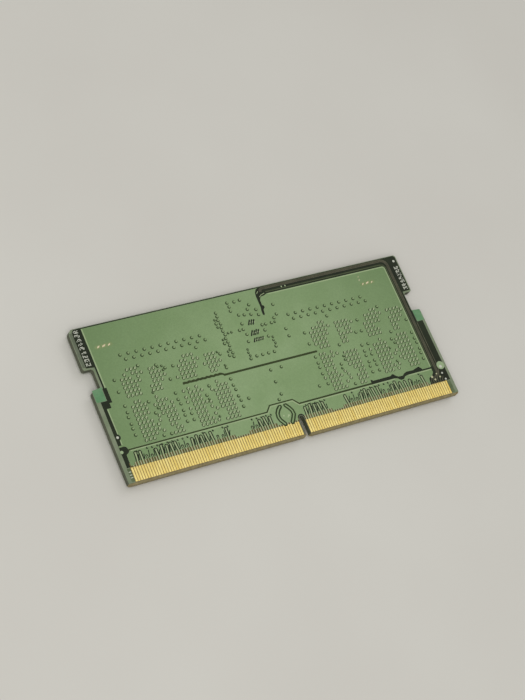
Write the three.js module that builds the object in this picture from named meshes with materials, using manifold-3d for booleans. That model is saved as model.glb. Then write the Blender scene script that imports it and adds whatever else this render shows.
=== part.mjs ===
// Small-outline laptop memory module, millimetres, +Z up.
// The origin is the centre of the outline, at the level of the packages' outer faces.
// +X runs along the long edge, +Y from the contact edge to the far edge.
// The populated front face looks down (-Z) and the bare back face looks up (+Z).

import * as THREE from 'three';
import { mergeVertices } from 'three/addons/utils/BufferGeometryUtils.js';
import Module from 'manifold-3d';

const wasm = await Module();
wasm.setup();

// ---- driving dimensions -------------------------------------------------------------------------

const LENGTH = 69.6;
const WIDTH = 30;
const BOARD_THICKNESS = 1.2;
const SKIN = 0.05; // outer copper with its solder mask, and the plating of a contact
const PACKAGE_HEIGHT = 1.1; // tallest package, from the board's front face to its own outer face

const CORNER_RADIUS = 0.5;
const MARKED_CORNER_RADIUS = 1;
const NOTCH_DEPTH = 1.8;
const NOTCH_BOTTOM = 3;
const NOTCH_TOP = 7;
const NOTCH_INNER_RADIUS = 0.5;
const NOTCH_OUTER_RADIUS = 0.4;

const SLOT_X = 1.375;
const SLOT_WIDTH = 1;
const SLOT_HEIGHT = 4;
const SLOT_MOUTH_RADIUS = 0.35;

const BEVEL_RUN = 0.35;
const BEVEL_RISE = 0.15;

const CONTACT_PITCH = 0.5;
const CONTACT_WIDTH = 0.35;
const CONTACT_BOTTOM = 0.42; // above the contact edge
const CONTACT_TOP = 3;
const CONTACT_ROOT = 0.1; // strip that joins the contacts of a bank at their upper ends
const LEFT_BANK_FIRST_X = -33.2;
const LEFT_BANK_COUNT = 68;
const RIGHT_BANK_FIRST_X = 2.2;
const RIGHT_BANK_COUNT = 63;
const MASK_WINDOW_MARGIN = 0.15; // bare laminate beside the outermost contacts

const DRAM_CENTRES_X = [-25, -13.7, 14.1, 25.7];
const DRAM_CENTRE_Y = -1.6;
const DRAM_SIZE = [10, 14];
const DRAM_MOULD_HEIGHT = 0.55;
const DRAM_SUBSTRATE_HEIGHT = 0.25;
const BALL_PITCH = 0.8;
const BALL_DIAMETER = 0.45;
const BALL_SIDES = 6;
const BALL_ROWS = 17;
const BALL_COLUMN_STEPS = [-4, -3, -2, 2, 3, 4]; // columns of balls, in pitches from the centre line

const ARC_STEPS = 3;
const LEAD_HEIGHT = 0.05; // stand-off of the small packages on their pads

// ---- levels -------------------------------------------------------------------------------------

const HALF_LENGTH = LENGTH / 2;
const HALF_WIDTH = WIDTH / 2;
const FRONT_Z = PACKAGE_HEIGHT;
const BACK_Z = PACKAGE_HEIGHT + BOARD_THICKNESS;
const CORE_FRONT_Z = FRONT_Z + SKIN;
const CORE_BACK_Z = BACK_Z - SKIN;

// ---- materials ----------------------------------------------------------------------------------

const COLOURS = {
  laminate: { color: 0x8a7f55, roughness: 0.7, metalness: 0 },
  mask: { color: 0x6f8c5f, roughness: 0.4, metalness: 0 },
  gold: { color: 0xd9b65a, roughness: 0.3, metalness: 1 },
  mould: { color: 0x1c1c1e, roughness: 0.65, metalness: 0 },
  substrate: { color: 0x2f4a2c, roughness: 0.5, metalness: 0 },
  ferrite: { color: 0x55565a, roughness: 0.7, metalness: 0 },
  ceramic: { color: 0x9a7f5e, roughness: 0.5, metalness: 0 },
  tin: { color: 0xc4c6c8, roughness: 0.35, metalness: 1 },
};

const part = new THREE.Group();

function addPiece(name, geometry, look, x = 0, y = 0, z = 0) {
  const mesh = new THREE.Mesh(geometry, new THREE.MeshStandardMaterial(COLOURS[look]));
  mesh.name = name;
  mesh.position.set(x, y, z);
  part.add(mesh);
}

// ---- solids -------------------------------------------------------------------------------------

function solidOf(geometry) {
  const bare = geometry.clone();
  bare.deleteAttribute('normal');
  bare.deleteAttribute('uv');
  const merged = mergeVertices(bare);
  return new wasm.Manifold(new wasm.Mesh({
    numProp: 3,
    vertProperties: new Float32Array(merged.attributes.position.array),
    triVerts: new Uint32Array(merged.index.array),
  }));
}

function geometryOf(solid) {
  const mesh = solid.getMesh();
  const geometry = new THREE.BufferGeometry();
  geometry.setAttribute('position', new THREE.BufferAttribute(mesh.vertProperties, 3));
  geometry.setIndex(new THREE.BufferAttribute(mesh.triVerts, 1));
  geometry.computeVertexNormals();
  return geometry;
}

function extrudeUp(shape, height) {
  return new THREE.ExtrudeGeometry(shape, { depth: height, bevelEnabled: false, curveSegments: ARC_STEPS });
}

// A box with its low corner at z = 0, centred in x and y.
function boxOn(sizeX, sizeY, height) {
  return new THREE.BoxGeometry(sizeX, sizeY, height).translate(0, 0, height / 2);
}

// ---- board outline ------------------------------------------------------------------------------

// Each side follows the outline counter-clockwise, so outer corners turn left and inner ones right.
function outerCorner(path, centreX, centreY, radius, startQuarter) {
  path.absarc(centreX, centreY, radius, startQuarter * Math.PI / 2, (startQuarter + 1) * Math.PI / 2, false);
}

function innerCorner(path, centreX, centreY, radius, startQuarter) {
  path.absarc(centreX, centreY, radius, startQuarter * Math.PI / 2, (startQuarter - 1) * Math.PI / 2, true);
}

function addRightSide(path) {
  const floorX = HALF_LENGTH - NOTCH_DEPTH;
  const outerX = HALF_LENGTH - NOTCH_OUTER_RADIUS;
  const innerX = floorX + NOTCH_INNER_RADIUS;
  outerCorner(path, outerX, NOTCH_BOTTOM - NOTCH_OUTER_RADIUS, NOTCH_OUTER_RADIUS, 0);
  innerCorner(path, innerX, NOTCH_BOTTOM + NOTCH_INNER_RADIUS, NOTCH_INNER_RADIUS, 3);
  innerCorner(path, innerX, NOTCH_TOP - NOTCH_INNER_RADIUS, NOTCH_INNER_RADIUS, 2);
  outerCorner(path, outerX, NOTCH_TOP + NOTCH_OUTER_RADIUS, NOTCH_OUTER_RADIUS, 3);
  outerCorner(path, HALF_LENGTH - CORNER_RADIUS, HALF_WIDTH - CORNER_RADIUS, CORNER_RADIUS, 0);
}

function addLeftSide(path) {
  const floorX = -HALF_LENGTH + NOTCH_DEPTH;
  const outerX = -HALF_LENGTH + NOTCH_OUTER_RADIUS;
  const innerX = floorX - NOTCH_INNER_RADIUS;
  const markedX = -HALF_LENGTH + MARKED_CORNER_RADIUS;
  outerCorner(path, markedX, HALF_WIDTH - MARKED_CORNER_RADIUS, MARKED_CORNER_RADIUS, 1);
  outerCorner(path, outerX, NOTCH_TOP + NOTCH_OUTER_RADIUS, NOTCH_OUTER_RADIUS, 2);
  innerCorner(path, innerX, NOTCH_TOP - NOTCH_INNER_RADIUS, NOTCH_INNER_RADIUS, 1);
  innerCorner(path, innerX, NOTCH_BOTTOM + NOTCH_INNER_RADIUS, NOTCH_INNER_RADIUS, 0);
  outerCorner(path, outerX, NOTCH_BOTTOM - NOTCH_OUTER_RADIUS, NOTCH_OUTER_RADIUS, 1);
}

function boardOutline() {
  const slotRadius = SLOT_WIDTH / 2;
  const slotCentreY = -HALF_WIDTH + SLOT_HEIGHT - slotRadius;
  const mouthY = -HALF_WIDTH + SLOT_MOUTH_RADIUS;
  const cornerX = HALF_LENGTH - CORNER_RADIUS;
  const cornerY = -HALF_WIDTH + CORNER_RADIUS;
  const path = new THREE.Shape();
  path.moveTo(-cornerX, -HALF_WIDTH);
  outerCorner(path, SLOT_X - slotRadius - SLOT_MOUTH_RADIUS, mouthY, SLOT_MOUTH_RADIUS, 3);
  path.absarc(SLOT_X, slotCentreY, slotRadius, Math.PI, 0, true);
  outerCorner(path, SLOT_X + slotRadius + SLOT_MOUTH_RADIUS, mouthY, SLOT_MOUTH_RADIUS, 2);
  outerCorner(path, cornerX, cornerY, CORNER_RADIUS, 3);
  addRightSide(path);
  addLeftSide(path);
  outerCorner(path, -cornerX, cornerY, CORNER_RADIUS, 2);
  return path;
}

// ---- board --------------------------------------------------------------------------------------

// Wedge along the contact edge that cuts the bevel of one face. facing is +1 for the back, -1 for the front.
function bevelWedge(faceZ, facing) {
  const run = BEVEL_RUN;
  const rise = BEVEL_RISE * facing;
  const section = new THREE.Shape([
    new THREE.Vector2(-HALF_WIDTH - run, faceZ - 2 * rise),
    new THREE.Vector2(-HALF_WIDTH + 2 * run, faceZ + rise),
    new THREE.Vector2(-HALF_WIDTH - run, faceZ + rise),
  ]);
  const wedge = new THREE.ExtrudeGeometry(section, { depth: LENGTH + 2, bevelEnabled: false });
  const toEdge = new THREE.Matrix4().set(
    0, 0, 1, -HALF_LENGTH - 1,
    1, 0, 0, 0,
    0, 1, 0, 0,
    0, 0, 0, 1,
  );
  return solidOf(wedge.applyMatrix4(toEdge));
}

function addLaminate() {
  const blank = extrudeUp(boardOutline(), CORE_BACK_Z - CORE_FRONT_Z).translate(0, 0, CORE_FRONT_Z);
  const core = solidOf(blank)
    .subtract(bevelWedge(CORE_BACK_Z, 1))
    .subtract(bevelWedge(CORE_FRONT_Z, -1));
  addPiece('board_laminate', geometryOf(core), 'laminate');
}

// The mask stops where the bevel starts and leaves a window round both banks of contacts.
function addMask(name, lowZ) {
  const reach = 1;
  const lastX = RIGHT_BANK_FIRST_X + (RIGHT_BANK_COUNT - 1) * CONTACT_PITCH;
  const windowLeft = LEFT_BANK_FIRST_X - CONTACT_WIDTH / 2 - MASK_WINDOW_MARGIN;
  const windowRight = lastX + CONTACT_WIDTH / 2 + MASK_WINDOW_MARGIN;
  const windowHeight = CONTACT_TOP + CONTACT_ROOT + reach;
  const film = solidOf(extrudeUp(boardOutline(), SKIN).translate(0, 0, lowZ));
  const strip = boxOn(LENGTH + 2 * reach, BEVEL_RUN + reach, SKIN + 2 * reach)
    .translate(0, -HALF_WIDTH + (BEVEL_RUN - reach) / 2, lowZ - reach);
  const window = boxOn(windowRight - windowLeft, windowHeight, SKIN + 2 * reach)
    .translate((windowLeft + windowRight) / 2, -HALF_WIDTH - reach + windowHeight / 2, lowZ - reach);
  addPiece(name, geometryOf(film.subtract(solidOf(strip)).subtract(solidOf(window))), 'mask');
}

// ---- contacts -----------------------------------------------------------------------------------

// A bank is a comb: every contact is a tooth, and a narrow strip joins them at the upper end.
function contactBank(firstX, count) {
  const bottomY = -HALF_WIDTH + CONTACT_BOTTOM;
  const toothTopY = -HALF_WIDTH + CONTACT_TOP;
  const stripTopY = toothTopY + CONTACT_ROOT;
  const comb = new THREE.Shape();
  comb.moveTo(firstX - CONTACT_WIDTH / 2, stripTopY);
  for (let i = 0; i < count; i += 1) {
    const left = firstX + i * CONTACT_PITCH - CONTACT_WIDTH / 2;
    if (i > 0) comb.lineTo(left, toothTopY);
    comb.lineTo(left, bottomY);
    comb.lineTo(left + CONTACT_WIDTH, bottomY);
    if (i < count - 1) comb.lineTo(left + CONTACT_WIDTH, toothTopY);
  }
  comb.lineTo(firstX + (count - 1) * CONTACT_PITCH + CONTACT_WIDTH / 2, stripTopY);
  return extrudeUp(comb, SKIN);
}

function addContacts() {
  for (const [face, lowZ] of [['back', CORE_BACK_Z], ['front', FRONT_Z]]) {
    addPiece(`contacts_${face}_left`, contactBank(LEFT_BANK_FIRST_X, LEFT_BANK_COUNT), 'gold', 0, 0, lowZ);
    addPiece(`contacts_${face}_right`, contactBank(RIGHT_BANK_FIRST_X, RIGHT_BANK_COUNT), 'gold', 0, 0, lowZ);
  }
}

// ---- memory packages ----------------------------------------------------------------------------

// A soldered ball, as a many-sided post that starts inside the substrate and ends on the board.
function ballPost() {
  const corners = [];
  for (let i = 0; i < BALL_SIDES; i += 1) {
    const angle = 2 * Math.PI * i / BALL_SIDES;
    corners.push(new THREE.Vector2(Math.cos(angle), Math.sin(angle)).multiplyScalar(BALL_DIAMETER / 2));
  }
  const root = DRAM_SUBSTRATE_HEIGHT / 2;
  const standOff = PACKAGE_HEIGHT - DRAM_MOULD_HEIGHT - DRAM_SUBSTRATE_HEIGHT;
  return solidOf(extrudeUp(new THREE.Shape(corners), root + standOff).translate(0, 0, root));
}

// The substrate and its soldered balls are one body.
function dramSubstrate() {
  const post = ballPost();
  const middleRow = (BALL_ROWS - 1) / 2;
  let solid = solidOf(boxOn(DRAM_SIZE[0], DRAM_SIZE[1], DRAM_SUBSTRATE_HEIGHT));
  for (const step of BALL_COLUMN_STEPS) {
    for (let row = 0; row < BALL_ROWS; row += 1) {
      solid = solid.add(post.translate(step * BALL_PITCH, (row - middleRow) * BALL_PITCH, 0));
    }
  }
  return geometryOf(solid);
}

function addDrams() {
  const mould = boxOn(DRAM_SIZE[0], DRAM_SIZE[1], DRAM_MOULD_HEIGHT);
  const substrate = dramSubstrate();
  DRAM_CENTRES_X.forEach((x, i) => {
    addPiece(`dram_${i + 1}_mould`, mould, 'mould', x, DRAM_CENTRE_Y, 0);
    addPiece(`dram_${i + 1}_substrate`, substrate, 'substrate', x, DRAM_CENTRE_Y, DRAM_MOULD_HEIGHT);
  });
}

// ---- power and housekeeping packages ------------------------------------------------------------

// A flat leadless package is a mould on a carrier whose pads stand on the board.
const LEADLESS = [
  { name: 'power_controller', x: -0.5, y: 7, sizeX: 4, sizeY: 3.4, mould: 0.55, carrier: 0.2 },
  { name: 'configuration_hub', x: 4.6, y: 1.6, sizeX: 3, sizeY: 2, mould: 0.45, carrier: 0.2 },
];

function leadlessCarrier(item) {
  const padDepth = 0.4;
  const inset = 0.2;
  const core = boxOn(item.sizeX, item.sizeY, item.carrier);
  const thermalPad = boxOn(item.sizeX * 0.5, item.sizeY * 0.5, item.carrier / 2 + LEAD_HEIGHT)
    .translate(0, 0, item.carrier / 2);
  let solid = solidOf(core).add(solidOf(thermalPad));
  for (const side of [-1, 1]) {
    const lands = boxOn(item.sizeX - 2 * inset, padDepth, item.carrier / 2 + LEAD_HEIGHT)
      .translate(0, side * (item.sizeY - padDepth) / 2, item.carrier / 2);
    solid = solid.add(solidOf(lands));
  }
  return geometryOf(solid);
}

function addLeadless() {
  for (const item of LEADLESS) {
    const carrierZ = FRONT_Z - LEAD_HEIGHT - item.carrier;
    const mould = boxOn(item.sizeX, item.sizeY, item.mould);
    addPiece(`${item.name}_mould`, mould, 'mould', item.x, item.y, carrierZ - item.mould);
    addPiece(`${item.name}_carrier`, leadlessCarrier(item), 'substrate', item.x, item.y, carrierZ);
  }
}

// ---- inductors and capacitors -------------------------------------------------------------------

// A two-ended chip part: a body with a metal cap over each end. It lies along x, or along y when upright.
function addTwoEnded(name, look, size, capLength, x, y, alongY = false) {
  const [length, width, height] = size;
  const bodyLength = length - 2 * capLength;
  const inset = 0.02;
  const capOffset = (length - capLength) / 2;
  const place = (along) => (alongY ? [x, y + along] : [x + along, y]);
  const box = (l, w, h) => (alongY ? boxOn(w, l, h) : boxOn(l, w, h));
  addPiece(`${name}_body`, box(bodyLength, width - 2 * inset, height - inset), look,
    ...place(0), FRONT_Z - height + inset);
  addPiece(`${name}_end_a`, box(capLength, width, height), 'tin', ...place(-capOffset), FRONT_Z - height);
  addPiece(`${name}_end_b`, box(capLength, width, height), 'tin', ...place(capOffset), FRONT_Z - height);
}

const INDUCTOR_SIZE = [2.5, 2, 1];
const INDUCTOR_CAP = 0.5;
const INDUCTOR_X = -5.4;
const INDUCTOR_FIRST_Y = 3.6;
const INDUCTOR_STEP = 2.6;
const INDUCTOR_COUNT = 3;

function addInductors() {
  for (let i = 0; i < INDUCTOR_COUNT; i += 1) {
    const y = INDUCTOR_FIRST_Y + i * INDUCTOR_STEP;
    addTwoEnded(`inductor_${i + 1}`, 'ferrite', INDUCTOR_SIZE, INDUCTOR_CAP, INDUCTOR_X, y);
  }
}

const BULK_CAP_SIZE = [1.6, 0.8, 0.8];
const BULK_CAP_END = 0.3;
const BULK_CAP_ROW_Y = 12.6;
const BULK_CAP_ROW_X = [-2.6, -0.4, 1.8, 4];
const BULK_CAP_COLUMN_X = 4.4;
const BULK_CAP_COLUMN_Y = [4.6, 6.2, 7.8, 9.4];

function addBulkCapacitors() {
  BULK_CAP_ROW_X.forEach((x, i) => {
    addTwoEnded(`bulk_capacitor_${i + 1}`, 'ceramic', BULK_CAP_SIZE, BULK_CAP_END, x, BULK_CAP_ROW_Y, true);
  });
  BULK_CAP_COLUMN_Y.forEach((y, i) => {
    const number = BULK_CAP_ROW_X.length + i + 1;
    addTwoEnded(`bulk_capacitor_${number}`, 'ceramic', BULK_CAP_SIZE, BULK_CAP_END, BULK_CAP_COLUMN_X, y);
  });
}

// ---- assembly -----------------------------------------------------------------------------------

addLaminate();
addMask('back_mask', CORE_BACK_Z);
addMask('front_mask', FRONT_Z);
addContacts();
addDrams();
addLeadless();
addInductors();
addBulkCapacitors();

export default part;
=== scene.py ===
"""A laptop memory module lying on its packages, bare back face up, seen across its contact edge."""

import math
import random

import bmesh
import bpy
from mathutils import Matrix, Vector


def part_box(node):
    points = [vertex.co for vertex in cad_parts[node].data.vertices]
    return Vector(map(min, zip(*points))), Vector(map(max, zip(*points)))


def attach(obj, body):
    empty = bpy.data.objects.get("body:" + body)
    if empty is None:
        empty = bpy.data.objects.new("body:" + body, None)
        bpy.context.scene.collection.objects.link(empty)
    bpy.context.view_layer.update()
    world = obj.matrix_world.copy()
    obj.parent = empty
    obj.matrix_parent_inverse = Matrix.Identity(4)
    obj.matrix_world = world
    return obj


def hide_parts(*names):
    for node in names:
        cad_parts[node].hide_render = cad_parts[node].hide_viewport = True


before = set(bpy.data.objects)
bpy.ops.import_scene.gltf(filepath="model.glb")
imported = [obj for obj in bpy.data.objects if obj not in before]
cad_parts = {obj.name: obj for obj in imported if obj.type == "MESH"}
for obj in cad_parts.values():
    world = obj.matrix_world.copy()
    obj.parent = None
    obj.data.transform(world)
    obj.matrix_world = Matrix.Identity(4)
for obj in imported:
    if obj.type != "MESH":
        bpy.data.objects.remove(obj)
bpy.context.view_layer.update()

# ---- places and levels, in millimetres, worked out from the frame ----

MM = 0.001


def node_box(name):
    low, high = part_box(name)
    return low / MM, high / MM


BOARD_LOW, BOARD_HIGH = node_box("board_laminate")
MIDDLE_X = (BOARD_LOW.x + BOARD_HIGH.x) / 2
EDGE_Y = BOARD_LOW.y
BACK_Z = node_box("back_mask")[1].z
BACK_CORE_Z = BOARD_HIGH.z
FRONT_Z = node_box("front_mask")[0].z
FRONT_CORE_Z = BOARD_LOW.z

SHADE_Z = BACK_Z + 0.004
COPPER_HEIGHT = 0.03
COPPER_Z = BACK_Z + COPPER_HEIGHT
FRONT_COPPER_Z = FRONT_Z - COPPER_HEIGHT
RIM = 0.035


def place(x, y):
    """A point given as its distance right of the middle and above the contact edge."""
    return (MIDDLE_X + x, EDGE_Y + y)


def package_middle(number):
    low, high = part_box(f"dram_{number}_mould")
    return (low.x + high.x) / 2 / MM - MIDDLE_X


DRAM_X = [package_middle(number) for number in range(1, 5)]
CONTACT_PITCH = 0.5
CONTACT_WIDTH = 0.35
CONTACT_TOP = 3.0


def contact_bank(node):
    """The middle of each contact in a bank, from the two ends of its comb."""
    low, high = node_box(node)
    first = round(low.x - MIDDLE_X + CONTACT_WIDTH / 2, 3)
    count = round((high.x - low.x - CONTACT_WIDTH) / CONTACT_PITCH) + 1
    return [first + CONTACT_PITCH * i for i in range(count)]


LEFT_BANK = contact_bank("contacts_back_left")
RIGHT_BANK = contact_bank("contacts_back_right")

# ---- materials ----


def linear(screen):
    """A colour from its 8-bit screen values."""
    values = [value / 255 for value in screen]
    return (*[v / 12.92 if v <= 0.04045 else ((v + 0.055) / 1.055) ** 2.4 for v in values], 1.0)


class Shader:
    """Builds one Principled material out of object-space noises."""

    def __init__(self, name):
        self.material = bpy.data.materials.new(name)
        self.material.use_nodes = True
        self.tree = self.material.node_tree
        self.bsdf = self.tree.nodes["Principled BSDF"].inputs
        self.coord = self.node("TexCoord", {})["Object"]

    def feed(self, socket, value):
        """Gives an input a fixed value or another node's output."""
        if isinstance(value, bpy.types.NodeSocket):
            self.tree.links.new(value, socket)
        else:
            socket.default_value = value

    def node(self, kind, inputs, **options):
        """Adds a node, feeds its inputs and returns its outputs."""
        made = self.tree.nodes.new("ShaderNode" + kind)
        for option, value in options.items():
            setattr(made, option, value)
        for key, value in inputs.items():
            self.feed(made.inputs[key], value)
        return made.outputs

    def noise(self, size_mm, detail=3.0, stretch=(1, 1, 1)):
        """A noise between 0 and 1 whose features are about size_mm across."""
        scale = [s / (size_mm * MM) for s in stretch]
        mapped = self.node("Mapping", {"Vector": self.coord, "Scale": scale})["Vector"]
        return self.node("TexNoise", {"Vector": mapped, "Scale": 1.0, "Detail": detail})["Fac"]

    def distance(self, x_mm, y_mm):
        """How far a point is from the upright line through x, y, in metres."""
        flat = self.node("VectorMath", {0: self.coord, 1: (1, 1, 0)}, operation="MULTIPLY")["Vector"]
        spot = (x_mm * MM, y_mm * MM, 0)
        return self.node("VectorMath", {0: flat, 1: spot}, operation="DISTANCE")["Value"]

    def ramp(self, factor, low, high):
        """Stretches the part of factor between low and high over 0 to 1."""
        return self.node("MapRange", {"Value": factor, "From Min": low, "From Max": high})["Result"]

    def mix(self, factor, first, second, blend="MIX"):
        return self.node("Mix", {0: factor, 6: first, 7: second}, data_type="RGBA", blend_type=blend)[2]

    def base(self, colour):
        self.feed(self.bsdf["Base Color"], colour)

    def surface(self, roughness, metallic=0.0, specular=0.5):
        self.feed(self.bsdf["Roughness"], roughness)
        self.bsdf["Metallic"].default_value = metallic
        self.bsdf["Specular IOR Level"].default_value = specular

    def bump(self, height, depth_mm):
        normal = self.node("Bump", {"Height": height, "Distance": depth_mm * MM})["Normal"]
        self.feed(self.bsdf["Normal"], normal)


def mask_material(name, main, pale, size=7.0, roughness=0.42, gloss=0.4, far=None):
    """Solder mask: two close greens in soft patches, a faint orange peel, and, where far is given, a painted
    sheen: lighter near the middle, fading to the darker far tone towards the edges.
    """
    s = Shader("mask_" + name)
    patches = s.ramp(s.noise(size, 2.0), 0.3, 0.7)
    grain = s.ramp(s.noise(0.35, 2.0), 0.25, 0.75)
    colour = s.mix(patches, linear(main), linear(pale))
    # Painted sheen: away from a spot near the middle, above the contact edge, the mask darkens to the far
    # tone.
    if far:
        painted_sheen_falloff = s.ramp(s.distance(MIDDLE_X, EDGE_Y + 6.0), 17.0 * MM, 40.0 * MM)
        colour = s.mix(painted_sheen_falloff, colour, linear(far))
    speck = s.mix(grain, (0.94, 0.94, 0.94, 1.0), (1.06, 1.06, 1.06, 1.0))
    s.base(s.mix(1.0, colour, speck, "MULTIPLY"))
    s.surface(roughness, specular=gloss)
    s.bump(s.noise(0.25, 1.0), 0.004)
    return s.material


def metal_material(name, main, pale, roughness, stretch):
    """A satin metal with faint wipe marks."""
    s = Shader(name)
    wipe = s.ramp(s.noise(0.8, 3.0, stretch), 0.3, 0.7)
    s.base(s.mix(wipe, linear(main), linear(pale)))
    spread = {"Value": s.noise(0.3, 2.0), "To Min": roughness - 0.08, "To Max": roughness + 0.12}
    s.surface(s.node("MapRange", spread)["Result"], metallic=1.0)
    s.bump(s.noise(0.12, 2.0, stretch), 0.003)
    return s.material


def grainy_material(name, main, pale, roughness, size, depth):
    """A dull material with a fine speckle and a matching fine bump."""
    s = Shader(name)
    grain = s.noise(size, 4.0)
    s.base(s.mix(s.ramp(grain, 0.3, 0.7), linear(main), linear(pale)))
    s.surface(roughness)
    s.bump(grain, depth)
    return s.material


def laminate_material():
    """Glass laminate: grey-olive cut edges with fine fibres, darkened as painted shade on the walls, browner
    where the contact edge is bevelled.
    """
    s = Shader("laminate")
    layers = s.ramp(s.noise(0.22, 2.0, (0.05, 0.05, 1.0)), 0.35, 0.65)
    fibres = s.ramp(s.noise(0.5, 3.0, (1.0, 1.0, 0.3)), 0.3, 0.7)
    # The cut-edge greys are partly the laminate's own, partly painted shade on its walls.
    routed_painted_shade = s.mix(layers, linear((60, 64, 48)), linear((84, 88, 68)))
    broken_painted_shade = s.mix(layers, linear((70, 74, 56)), linear((94, 97, 76)))
    up_board = s.node("SeparateXYZ", {"Vector": s.coord})["Y"]
    bevelled = s.ramp(up_board, (EDGE_Y + 0.38) * MM, (EDGE_Y + 0.3) * MM)
    brown = s.mix(fibres, linear((112, 100, 66)), linear((138, 126, 86)))
    s.base(s.mix(bevelled, s.mix(fibres, routed_painted_shade, broken_painted_shade), brown))
    s.surface(0.62)
    s.bump(s.noise(0.1, 2.0, (0.3, 0.3, 1.0)), 0.01)
    return s.material


# The main mask carries a painted sheen: lighter in the middle, darker far out.
GREEN = mask_material("on_copper", (134, 158, 112), (122, 148, 99), far=(104, 130, 83))
# Paler green: the own pale tone of round pads and thin tracks, and on the rims of the copper plates partly
# thin mask over the copper edge, partly painted highlight.
PALE_GREEN_AND_EDGE_HIGHLIGHT = mask_material("pale_on_copper_and_edge_highlight", (138, 160, 116), (150, 170, 130))
LAND = mask_material("on_land", (162, 178, 136), (170, 186, 144), size=3.0)
TRACK = mask_material("on_track", (150, 166, 122), (160, 174, 130), size=3.0)
NECK = mask_material("on_neck", (170, 172, 134), (182, 182, 144), size=3.0)
ROOT_BED = mask_material("at_contact_roots", (80, 72, 34), (96, 86, 44), size=2.0, gloss=0.3)
LINE_GREEN = mask_material("in_long_gap", (38, 50, 10), (48, 60, 16), size=3.0, gloss=0.3)
# Painted highlight along the inner edges of the pours, partly thin mask over the copper edge.
EDGE_GLEAM = mask_material("painted_highlight_on_copper_edge", (146, 166, 122), (154, 172, 128), size=3.0)
SOFT_LAND = mask_material("on_lone_land", (122, 146, 98), (136, 158, 110), size=3.0)
SHADE = mask_material("on_inner_plane", (22, 30, 14), (34, 42, 24), size=4.0, roughness=0.4, gloss=0.2)
SHADE_GREEN = mask_material("in_gap", (40, 58, 22), (54, 72, 34), size=4.0, roughness=0.4, gloss=0.3)
DEEP_GREEN = mask_material("in_group_gap", (34, 50, 12), (44, 60, 20), size=4.0, gloss=0.3)
SIDE_MASK = mask_material("beside_plane", (84, 94, 72), (98, 106, 86), size=2.0)
BARE_BED = grainy_material("bare_bed", (158, 130, 72), (178, 150, 90), 0.6, 0.3, 0.004)
EDGE_MASK = mask_material("on_laminate", (110, 124, 94), (124, 134, 108), size=2.0)
TEAL = mask_material("on_clear_laminate", (82, 130, 86), (106, 144, 104), size=2.0)
CORNER = mask_material("on_bare_corner", (72, 88, 52), (92, 106, 72), size=1.2)
STRIPE = mask_material("on_olive_track", (58, 68, 40), (70, 80, 50), size=2.0, gloss=0.3)
DASH_BED = mask_material("round_bare_dashes", (112, 134, 84), (124, 142, 92), size=1.0)
TRACE_MASK = mask_material("on_band_trace", (78, 76, 58), (92, 90, 70), size=2.0, gloss=0.3)
GOLD = metal_material("gold", (238, 212, 118), (250, 234, 154), 0.36, (1.0, 0.12, 1.0))
GOLD_RIM = metal_material("gold_rim", (218, 188, 100), (234, 208, 124), 0.4, (1.0, 0.12, 1.0))
TIN = metal_material("tin", (186, 188, 190), (214, 216, 216), 0.36, (1.0, 1.0, 1.0))
LAMINATE = laminate_material()
INK = grainy_material("legend_ink", (178, 182, 164), (204, 206, 192), 0.6, 0.15, 0.004)
WARM_INK = grainy_material("bare_solder_dash", (196, 176, 140), (226, 214, 180), 0.4, 0.12, 0.004)
HOLE = mask_material("in_hole", (62, 80, 46), (78, 96, 60), size=1.0)
MOULD = grainy_material("mould", (34, 34, 36), (48, 48, 50), 0.6, 0.12, 0.008)
SUBSTRATE = grainy_material("substrate", (40, 62, 38), (56, 78, 50), 0.5, 0.3, 0.004)
FERRITE = grainy_material("ferrite", (74, 75, 78), (98, 99, 102), 0.65, 0.1, 0.01)
CERAMIC = grainy_material("ceramic", (140, 112, 82), (164, 136, 102), 0.5, 0.1, 0.004)
RESISTOR = grainy_material("resistor_film", (24, 24, 26), (36, 36, 40), 0.35, 0.2, 0.003)

# ---- outlines, in millimetres ----


def placed(loop):
    return [place(x, y) for x, y in loop]


def arc(x, y, radius, start, end, steps=6):
    """Points along an arc, angles in degrees."""
    angles = [math.radians(start + (end - start) * i / steps) for i in range(steps + 1)]
    return [(x + radius * math.cos(a), y + radius * math.sin(a)) for a in angles]


def circle(x, y, radius, sides=12):
    angles = [2 * math.pi * i / sides for i in range(sides)]
    return [(x + radius * math.cos(a), y + radius * math.sin(a)) for a in angles]


def rectangle(x0, y0, x1, y1):
    return [(x0, y0), (x1, y0), (x1, y1), (x0, y1)]


def direction(start, end):
    """The heading from one point to the next, in degrees."""
    heading = end - start
    return math.degrees(math.atan2(heading.y, heading.x))


def both_sides(points, indices, half, straighten):
    """Two lists of points beside a path, half a width away, each square to the path's mean heading there."""
    left, right = [], []
    for i in indices:
        point = points[i]
        first = (point - points[i - 1]).normalized() if i > 0 else (points[1] - point).normalized()
        second = (points[i + 1] - point).normalized() if i < len(points) - 1 else first
        along = (first + second).normalized()
        spread = half / max(0.5, along.dot(first)) if straighten else half
        side = Vector((-along.y, along.x)) * spread
        left.append(point + side)
        right.append(point - side)
    return left, right


def strip(path, width):
    """A closed outline round a path: a track of the given width with round ends."""
    points = [Vector(p) for p in path]
    half = width / 2
    left, right = both_sides(points, range(1, len(points) - 1), half, True)
    caps = []
    for inner, outer in ((points[-2], points[-1]), (points[1], points[0])):
        angle = direction(inner, outer)
        caps.append(arc(outer.x, outer.y, half, angle - 90, angle + 90, 4))
    return [tuple(p) for p in right] + caps[0] + [tuple(p) for p in reversed(left)] + caps[1]


def strips(paths, width):
    return [placed(strip(path, width)) for path in paths]


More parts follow.
